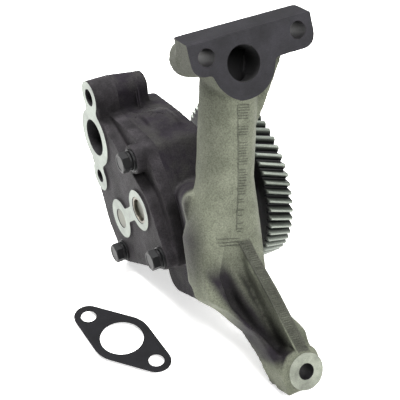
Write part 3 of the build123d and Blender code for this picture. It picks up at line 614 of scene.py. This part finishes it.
coverSizes = {
    "voxel": 0.9, "softening": 3, "stock": 3, "sandHeight": 0.1, "sandSize": 6, "joint": 18, "padHeight": 1.5,
    "inlet": (49.4, -54.3, 14), "upperHole": (80.16, -44.78, 6.5), "lowerHole": (18.64, -63.82, 5.1),
    "shaft": (0, 0, 10.02), "pin": (-12.0, -40.25, 7.52), "boltHole": 4.5, "holePlug": 0.5,
    "coverBolts": [(37.4, 7.0), (-32.7, 17.7), (-40.2, -54.9)], "spotFace": 8.6,
    "clearAlong": (-12, 30), "clearRise": (-80, 120), "clearOut": (-110, 60),     # cutters pass the ends
}
cover = mergedCopy("cover", "pumpCover", coverSkin)
coverJoint, stock = coverSizes["joint"], coverSizes["stock"]
addStock(cover, [(place(0, 0, 0), -alongDir, stock, 200), (place(coverJoint, 0, 0), alongDir, stock, 200)])
plugs = bmesh.new()
plugs.from_mesh(cover.data)
coverHoles = [coverSizes[name] for name in ("inlet", "upperHole", "lowerHole", "shaft", "pin")]
coverHoles += [(*bolt, coverSizes["boltHole"]) for bolt in coverSizes["coverBolts"]]
for *centre, radius in coverHoles:
    start = coverSizes["padHeight"] if radius == coverSizes["boltHole"] else -stock
    rod(plugs, (start, *centre), (coverJoint + stock, *centre), radius + coverSizes["holePlug"], sides=32)
plugs.to_mesh(cover.data)
plugs.free()
castShape(cover, coverSizes)
roughen(cover, coverSizes["sandHeight"], coverSizes["sandSize"])
for ends in ((coverSizes["clearAlong"][0], 0), (coverJoint, coverSizes["clearAlong"][1])):
    planed(cover, "coverFace", milledPale, [(a, r, o) for a in ends for r in coverSizes["clearRise"]
                                            for o in coverSizes["clearOut"]])
for *centre, radius in coverHoles:
    bored(cover, "coverBore", oiledBore, (-10, *centre), (30, *centre), radius)
for centre in coverSizes["coverBolts"]:
    bored(cover, "spotFace", milledDark, (-10, *centre), (coverSizes["padHeight"], *centre),
          coverSizes["spotFace"])
smoothShaded(cover)
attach(cover, "pump")
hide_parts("cover")
print("cover machined:", len(cover.data.polygons), "faces")

wheelSizes = {
    "teeth": 55, "pitch": 58.53, "module": 2, "pressure": 20, "backlash": 0.1, "phase": 45.6, "helix": 20,
    "start": 72, "face": 18.7, "hubStart": 70.2, "hub": 16, "bore": 8.02, "rimInside": 48.03, "recess": 5.3,
    "keyTop": 10.5, "keyHalf": 2.52, "endChamfer": 0.7,
}


def ringAt(centre, along, radius, sides=96):
    # points round the shaft's direction; along and radius may change with the angle
    risen, out = centre
    ring = []
    for i in range(sides):
        angle = 2 * pi * i / sides
        reach = radius(angle) if callable(radius) else radius
        where = along(angle) if callable(along) else along
        ring.append(place(where, risen + reach * cos(angle), out + reach * sin(angle)))
    return ring


def turned(name, profile, centre, material, closed=True):
    # piece turned in a lathe, from (along, radius) points
    work = bmesh.new()
    skinRings(work, [ringAt(centre, along, radius) for along, radius in profile], closed)
    return bmeshObject(name, work, material)


def makeRepeater():
    # one piece set at every place, each turned about the shaft's direction by the place's own turn
    tree = bpy.data.node_groups.new("repeatPiece", "GeometryNodeTree")
    tree.is_modifier = True
    sockets = {}
    for label, kind in (("Geometry", "Geometry"), ("Piece", "Object"), ("Places", "Object"),
                        ("Material", "Material"), ("Loose turn", "Float"), ("Seed", "Int")):
        made = tree.interface.new_socket(label, in_out="INPUT", socket_type="NodeSocket" + kind)
        sockets[label] = made.identifier
    tree.interface.new_socket("Geometry", in_out="OUTPUT", socket_type="NodeSocketGeometry")
    given = addNode(tree, "NodeGroupInput").outputs
    piece = addNode(tree, "GeometryNodeObjectInfo", None, {"Object": given["Piece"]})
    places = addNode(tree, "GeometryNodeObjectInfo", None, {"Object": given["Places"]})
    turn = addNode(tree, "GeometryNodeInputNamedAttribute", {"data_type": "FLOAT"}, {"Name": "turn"})
    chance = addNode(tree, "FunctionNodeRandomValue", {"data_type": "FLOAT"}, {
        2: -1.0, 3: 1.0, "Seed": given["Seed"]})
    loose = addNode(tree, "ShaderNodeMath", {"operation": "MULTIPLY_ADD"}, {
        0: chance.outputs[1], 1: given["Loose turn"], 2: turn.outputs[0]})
    spin = addNode(tree, "ShaderNodeCombineXYZ", None, {"X": loose.outputs[0]})
    copies = addNode(tree, "GeometryNodeInstanceOnPoints", None, {
        "Points": places.outputs["Geometry"], "Instance": piece.outputs["Geometry"],
        "Rotation": spin.outputs[0]})
    joined = addNode(tree, "GeometryNodeJoinGeometry", None, {"Geometry": given["Geometry"]})
    tree.links.new(copies.outputs["Instances"], joined.inputs["Geometry"])
    solid = addNode(tree, "GeometryNodeRealizeInstances", None, {"Geometry": joined.outputs["Geometry"]})
    painted = addNode(tree, "GeometryNodeSetMaterial", None, {
        "Geometry": solid.outputs["Geometry"], "Material": given["Material"]})
    addNode(tree, "NodeGroupOutput", None, {"Geometry": painted.outputs["Geometry"]})
    return tree, sockets


repeater, repeaterSockets = makeRepeater()


def repeated(base, piece, spots, material, looseTurn=0.0):
    # base gains one copy of the piece at each spot of (point, turn)
    mesh = bpy.data.meshes.new("places")
    mesh.from_pydata([point for point, turn in spots], [], [])
    turns = mesh.attributes.new("turn", "FLOAT", "POINT")
    for item, (point, turn) in zip(turns.data, spots):
        item.value = turn
    places = meshObject("places", mesh, material)
    copier = base.modifiers.new("copies", "NODES")
    copier.node_group = repeater
    for label, value in (("Piece", piece), ("Places", places), ("Material", material),
                         ("Loose turn", looseTurn), ("Seed", 5)):
        copier[repeaterSockets[label]] = value
    applied(base)
    for spare in (piece, places):
        bpy.data.objects.remove(spare)
    return base


def toothRing(look, along, lower):
    # outline of one tooth at a station of the face, round the shaft's axis
    pitch, root, tip = look["pitch"], look["pitch"] - 1.25 * look["module"], look["pitch"] + look["module"]
    base = pitch * cos(radians(look["pressure"]))
    involute = lambda r: sqrt((r / base) ** 2 - 1) - atan2(sqrt((r / base) ** 2 - 1), 1)
    half = lambda r: pi / 2 / look["teeth"] - look["backlash"] / 2 / pitch + involute(pitch) - involute(r)
    flank = [(root - 0.8, half(root) + 0.009), (root, half(root) + 0.009),
             (root + 0.35, half(root + 0.35) + 0.002)]
    flank += [(root + share * (tip - root), half(root + share * (tip - root)))
              for share in (0.25, 0.5, 0.75, 0.95)]
    flank.append((tip, half(tip) - 0.003))
    twist = (along - look["start"]) * tan(radians(look["helix"])) / pitch
    middle = radians(look["phase"]) + twist
    flank = [(min(r, tip - lower), turn) for r, turn in flank]
    corners = [(r, middle - turn) for r, turn in flank] + [(r, middle + turn) for r, turn in reversed(flank)]
    return [place(along, r * cos(angle), r * sin(angle)) - axisPoint for r, angle in corners]


axisPoint = place(pumpPlace["portAlong"], 0, 0)
wheelEnd = wheelSizes["start"] + wheelSizes["face"]
rootRadius = wheelSizes["pitch"] - 1.25 * wheelSizes["module"]
start, inside, hub, recess = (wheelSizes[name] for name in ("start", "rimInside", "hub", "recess"))
profile = [(wheelSizes["hubStart"], wheelSizes["bore"] + 0.6), (wheelSizes["hubStart"], hub - 0.6),
           (wheelSizes["hubStart"] + 0.6, hub), (start + recess - 1, hub), (start + recess, hub + 1.2),
           (start + recess, inside - 2), (start + recess - 0.8, inside - 1), (start + 0.6, inside - 0.1),
           (start, inside + 0.5), (start, rootRadius - 0.9), (start + 0.9, rootRadius)]
profile += [(wheelEnd + start - along, radius) for along, radius in reversed(profile[2:])]
profile += [(wheelEnd, hub - 0.6), (wheelEnd, wheelSizes["bore"] + 0.6), (wheelEnd - 0.6, wheelSizes["bore"]),
            (wheelSizes["hubStart"] + 0.6, wheelSizes["bore"])]
wheel = turned("helicalWheel", profile, (0, 0), wheelSteel)
planed(wheel, "keyway", wheelSteel, [(a, r, o) for a in (start - 5, wheelEnd + 5)
                                     for r in (5, wheelSizes["keyTop"])
                                     for o in (-wheelSizes["keyHalf"], wheelSizes["keyHalf"])])
work = bmesh.new()
chamfer = wheelSizes["endChamfer"]
plain = wheelSizes["face"] - 2 * chamfer
stations = [start] + [start + chamfer + plain * i / 8 for i in range(9)] + [wheelEnd]
skinRings(work, [toothRing(wheelSizes, along, chamfer if along in (start, wheelEnd) else 0)
                 for along in stations])
tooth = bmeshObject("tooth", work, wheelSteel)
repeated(wheel, tooth, [(axisPoint, 2 * pi * i / wheelSizes["teeth"]) for i in range(wheelSizes["teeth"])],
         wheelSteel)
smoothShaded(wheel, 30)
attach(wheel, "drive")
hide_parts("helical_wheel")
print("wheel toothed:", len(wheel.data.polygons), "faces")

boltSizes = {
    "acrossFlats": 13, "underHead": -2.3, "head": 5.3, "shank": 4, "end": 31, "hole": 4.3,
    "springLow": -2.3, "springMean": 5.6, "springSplit": 1.2, "springRise": 0.25, "springSteps": 72,
    "springSection": [(4.3, 0.2), (4.5, 0), (6.7, 0), (7, 0.3), (7, 1.6), (6.7, 1.95), (4.5, 1.95),
                      (4.3, 1.75)],
    "washer": 8, "washerLow": -0.1, "washerHigh": 1.5, "looseTurn": 0.03,
    "places": [(37.4, 7.0), (-32.7, 17.7), (-40.2, -54.9)],
}


def hexRings(centre, low, high, acrossFlats, bothEnds=False):
    # hexagon from low to high, its corners turned off on a 30 degree cone
    flats = lambda angle: acrossFlats / 2 / cos(angle % (pi / 3) - pi / 6)
    inner = 0.475 * acrossFlats
    way = 1 if high > low else -1
    fall = lambda angle: way * (flats(angle) - inner) * tan(radians(30))
    rings = [ringAt(centre, low, inner), ringAt(centre, lambda angle: low + fall(angle), flats)] if bothEnds \
        else [ringAt(centre, low, flats)]
    return rings + [ringAt(centre, lambda angle: high - fall(angle), flats), ringAt(centre, high, inner)]


origin = (0, 0)
toAxis = -place(pumpPlace["portAlong"], 0, 0)
under, top = boltSizes["underHead"], boltSizes["underHead"] - boltSizes["head"]
work = bmesh.new()
end, shank = boltSizes["end"], boltSizes["shank"]
skinRings(work, [ringAt(origin, end, shank - 0.8), ringAt(origin, end - 0.8, shank),
                 ringAt(origin, under, shank)]
          + hexRings(origin, under, top, boltSizes["acrossFlats"])
          + [ringAt(origin, top, 5.2), ringAt(origin, top + 0.35, 4.6)])
boltPiece = bmeshObject("bolt", work, blackOxide)
work = bmesh.new()
gap = asin(boltSizes["springSplit"] / 2 / boltSizes["springMean"])
steps = boltSizes["springSteps"]
rings = []
for i in range(steps + 1):
    angle = gap + (2 * pi - 2 * gap) * i / steps
    lift = boltSizes["springLow"] + boltSizes["springRise"] * i / steps
    rings.append([place(lift + height, reach * cos(angle), reach * sin(angle))
                  for reach, height in boltSizes["springSection"]])
skinRings(work, rings)
springPiece = bmeshObject("springWasher", work, blackOxide)
low, high, rim, hole = (boltSizes[name] for name in ("washerLow", "washerHigh", "washer", "hole"))
washerPiece = turned("washer", [(low + 0.2, hole), (low, hole + 0.2), (low, rim - 0.3), (low + 0.3, rim),
                                (high - 0.1, rim), (high, rim - 0.1), (high, hole + 0.2), (high - 0.2, hole)],
                     origin, blackOxide)
for piece, name, node in ((boltPiece, "coverBolts", "cover_bolts"),
                          (springPiece, "springWashers", "spring_washers"),
                          (washerPiece, "flatWashers", "flat_washers")):
    piece.data.transform(Matrix.Translation(toAxis))
    holder = meshObject(name, bpy.data.meshes.new(name), blackOxide)
    spots = [(axisPoint + place(0, *spot) - place(0, 0, 0), 0.0) for spot in boltSizes["places"]]
    repeated(holder, piece, spots, blackOxide, boltSizes["looseTurn"])
    smoothShaded(holder, 25)
    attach(holder, "pump")
    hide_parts(node)
print("bolts and washers set")

shaftSizes = {
    "radius": 8, "endChamfer": 0.8, "start": 2.5, "wheelEnd": 90.7,
    "thread": 6, "threadDepth": 0.55, "pitch": 1.5, "end": 105.2,
    "keySeats": [(24.62, 39.62), (73.85, 88.85)], "keyFloor": 5.5, "keyHalf": 2.52,
    "nut": (93.2, 103.2, 19), "nutBore": 6.02,
}
work = bmesh.new()
shaftRadius, chamfer, shoulder = shaftSizes["radius"], shaftSizes["endChamfer"], shaftSizes["wheelEnd"]
rings = [ringAt(origin, shaftSizes["start"], shaftRadius - chamfer),
         ringAt(origin, shaftSizes["start"] + chamfer, shaftRadius),
         ringAt(origin, shoulder, shaftRadius), ringAt(origin, shoulder, shaftSizes["thread"])]
threadSteps = round((shaftSizes["end"] - 1 - shoulder) / shaftSizes["pitch"] * 6)
for i in range(1, threadSteps + 1):
    station = shoulder + i * shaftSizes["pitch"] / 6
    rings.append(ringAt(origin, station, lambda angle: shaftSizes["thread"] - shaftSizes["threadDepth"]
                        * abs(2 * ((station / shaftSizes["pitch"] + angle / 2 / pi) % 1) - 1)))
rings.append(ringAt(origin, shaftSizes["end"], 5))
skinRings(work, rings)
shaft = bmeshObject("driveShaft", work, groundSteel)
for seat in shaftSizes["keySeats"]:
    planed(shaft, "keySeat", groundSteel, [(a, r, o) for a in seat for r in (shaftSizes["keyFloor"], 12)
                                           for o in (-shaftSizes["keyHalf"], shaftSizes["keyHalf"])])
low, high, flats = shaftSizes["nut"]
bore = shaftSizes["nutBore"]
work = bmesh.new()
skinRings(work, [ringAt(origin, low + 0.5, bore), ringAt(origin, low, bore + 0.5)]
          + hexRings(origin, low, high, flats, True)
          + [ringAt(origin, high, bore + 0.5), ringAt(origin, high - 0.5, bore)], True)
nut = bmeshObject("hubNut", work, blackOxide)
for piece, node, slot in ((shaft, "drive_shaft", "ground_steel"), (nut, "hub_nut", "black_fasteners")):
    smoothShaded(piece, 28)
    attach(piece, "drive")
    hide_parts(node)
print("shaft and nut made")

# The plain turned, ground and stamped pieces keep their shape and get their edges broken.
edgeBreaks = {      # node: name, body, slot, material and width of the broken edge
    "cover_bush": ("coverBush", "pump", "bush_bronze", bearingBronze, 0.4),
    "body_bush": ("bodyBush", "pump", "bush_bronze", bearingBronze, 0.4),
    "idler_bush": ("idlerBush", "idler", "bush_bronze", bearingBronze, 0.3),
    "thrust_washer": ("thrustWasher", "drive", "bush_bronze", bearingBronze, 0.25),
    "hub_washer": ("hubWasher", "drive", "ground_steel", groundSteel, 0.3),
    "idler_pin": ("idlerPin", "pump", "ground_steel", groundSteel, 0.7),
    "pump_gear_key": ("pumpGearKey", "drive", "ground_steel", groundSteel, 0.3),
    "wheel_key": ("wheelKey", "drive", "ground_steel", groundSteel, 0.3),
    "dowels": ("dowels", "pump", "ground_steel", groundSteel, 0.5),
    "pump_drive_gear": ("pumpDriveGear", "drive", "gear_steel", groundSteel, 0.25),
    "pump_idler_gear": ("pumpIdlerGear", "idler", "gear_steel", groundSteel, 0.25),
    "suction_gasket": ("suctionGasket", "pump", "gasket_fibre", pressedFibre, 0.15),
}
for node, (name, body, slot, material, width) in edgeBreaks.items():
    piece = mergedCopy(node, name, material)
    work = bmesh.new()
    work.from_mesh(piece.data)
    bmesh.ops.dissolve_limit(work, angle_limit=radians(1), verts=work.verts, edges=work.edges)
    work.to_mesh(piece.data)
    work.free()
    edge = piece.modifiers.new("brokenEdge", "BEVEL")
    edge.width = width * mm
    edge.segments = 2
    edge.limit_method = "ANGLE"
    edge.angle_limit = radians(40)
    applied(piece)
    smoothShaded(piece, 28)
    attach(piece, body)
    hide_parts(node)
print("edges broken")

stageSizes = {
    "floorSide": 30000, "floorColour": "#f4f4f2", "floorGlow": 0.6, "floorDrop": 0.2, "worldGlow": 0.2,
    "cameraPlace": (-298.58, -461.72, 359.10), "cameraTurn": (49.324, -1.4, -29.141), "lens": 94.68,
    "lampAim": Vector((0, 0, -0.08)),
}
floorMesh = bpy.data.meshes.new("paleFloor")
half = stageSizes["floorSide"] / 2 * mm
ground = cadLow.z - stageSizes["floorDrop"] * mm
floorMesh.from_pydata([(x * half, y * half, ground) for x, y in ((-1, -1), (1, -1), (1, 1), (-1, 1))],
                      [], [(0, 1, 2, 3)])
floor = bpy.data.objects.new("paleFloor", floorMesh)
bpy.context.collection.objects.link(floor)
# matt paper that glows a little, so it stays white
floorPaint, tree, position = startMaterial("palePaper")
finishMaterial(tree, {
    "Base Color": linearColour(stageSizes["floorColour"]), "Metallic": 0.0, "Roughness": 0.9,
    "Emission Color": greyShade(1), "Emission Strength": stageSizes["floorGlow"]})
floorMesh.materials.append(floorPaint)

world = bpy.data.worlds.new("studio")
bpy.context.scene.world = world
world.use_nodes = True
world.node_tree.nodes["Background"].inputs["Color"].default_value = greyShade(1)
world.node_tree.nodes["Background"].inputs["Strength"].default_value = stageSizes["worldGlow"]
softLamps = {   # side of the square lamp in metres, power, place in metres
    "key": (1.0, 45, (0.05, -1.05, 1.45)),
    "fill": (0.9, 6, (0.9, -0.9, 0.5)),
    "back": (1.0, 80, (-0.3, 0.8, 1.4)),
}
for name, (side, power, spot) in softLamps.items():
    lamp = bpy.data.lights.new(name, "AREA")
    lamp.size = side
    lamp.energy = power
    holder = bpy.data.objects.new(name, lamp)
    holder.location = spot
    holder.rotation_euler = (stageSizes["lampAim"] - Vector(spot)).to_track_quat("-Z", "Y").to_euler()
    bpy.context.collection.objects.link(holder)

camera = bpy.data.cameras.new("camera")
camera.lens = stageSizes["lens"]
camera.sensor_width = 36
viewer = bpy.data.objects.new("camera", camera)
viewer.location = Vector(stageSizes["cameraPlace"]) * mm
viewer.rotation_euler = [radians(turn) for turn in stageSizes["cameraTurn"]]
bpy.context.collection.objects.link(viewer)
bpy.context.scene.camera = viewer
bpy.context.scene.view_settings.view_transform = "Standard"
print("stage set")
